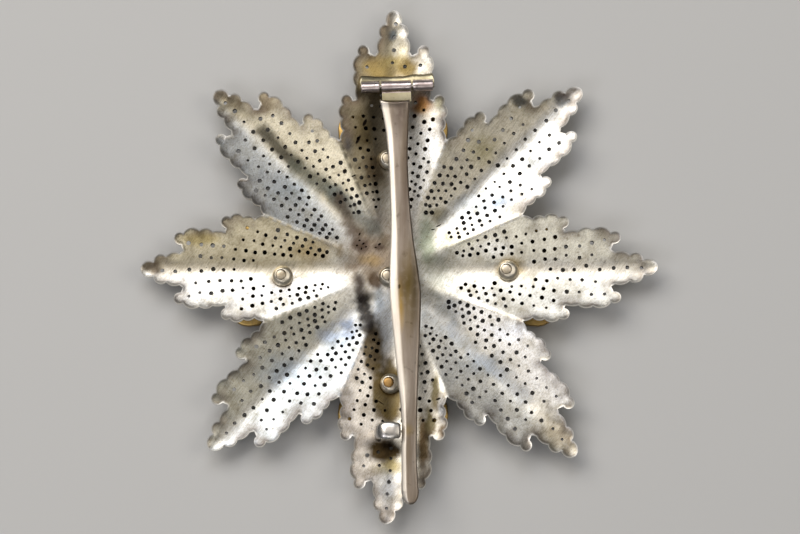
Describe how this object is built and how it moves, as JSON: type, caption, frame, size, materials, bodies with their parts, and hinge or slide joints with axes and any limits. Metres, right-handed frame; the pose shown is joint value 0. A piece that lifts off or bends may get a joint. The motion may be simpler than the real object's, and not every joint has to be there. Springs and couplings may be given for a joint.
{
  "type": "breast star",
  "caption": "Back of a pierced silver breast star with eight scalloped rays, a long hinged brooch pin, a hooked catch, domed stud nuts and a plain gilt cross on the front.",
  "frame": {"origin": "middle of the gilt cross's flat front face, which the star lies on, face down", "axes": "+Z out of the back of the star, towards the brooch pin; +Y towards the ray that carries the hinge; +X to the right seen from the back"},
  "size_m": [0.0803, 0.0806, 0.0095],
  "materials": {
    "toned_silver": "tarnished silver, stamped and drilled",
    "gilt": "worn gilding",
    "stud_silver": "tarnished silver domes",
    "wire": "drawn silver wire",
    "pin_silver": "worn silver blade"
  },
  "bodies": {
    "star": {"star_plate": "toned_silver", "front_cross": "gilt", "stud_centre": "stud_silver", "stud_top": "stud_silver", "stud_right": "stud_silver", "stud_bottom": "stud_silver", "stud_left": "stud_silver", "hinge_wire": "wire"},
    "pin": {"pin_blade": "pin_silver"}
  },
  "joints": [
    {"name": "pin_hinge", "type": "hinge", "parent": "star", "child": "pin", "pos_m": [0.0005, 0.0281, 0.0079], "axis": [-0.9993, -0.0366, 0], "range_deg": [0, 115]}
  ]
}
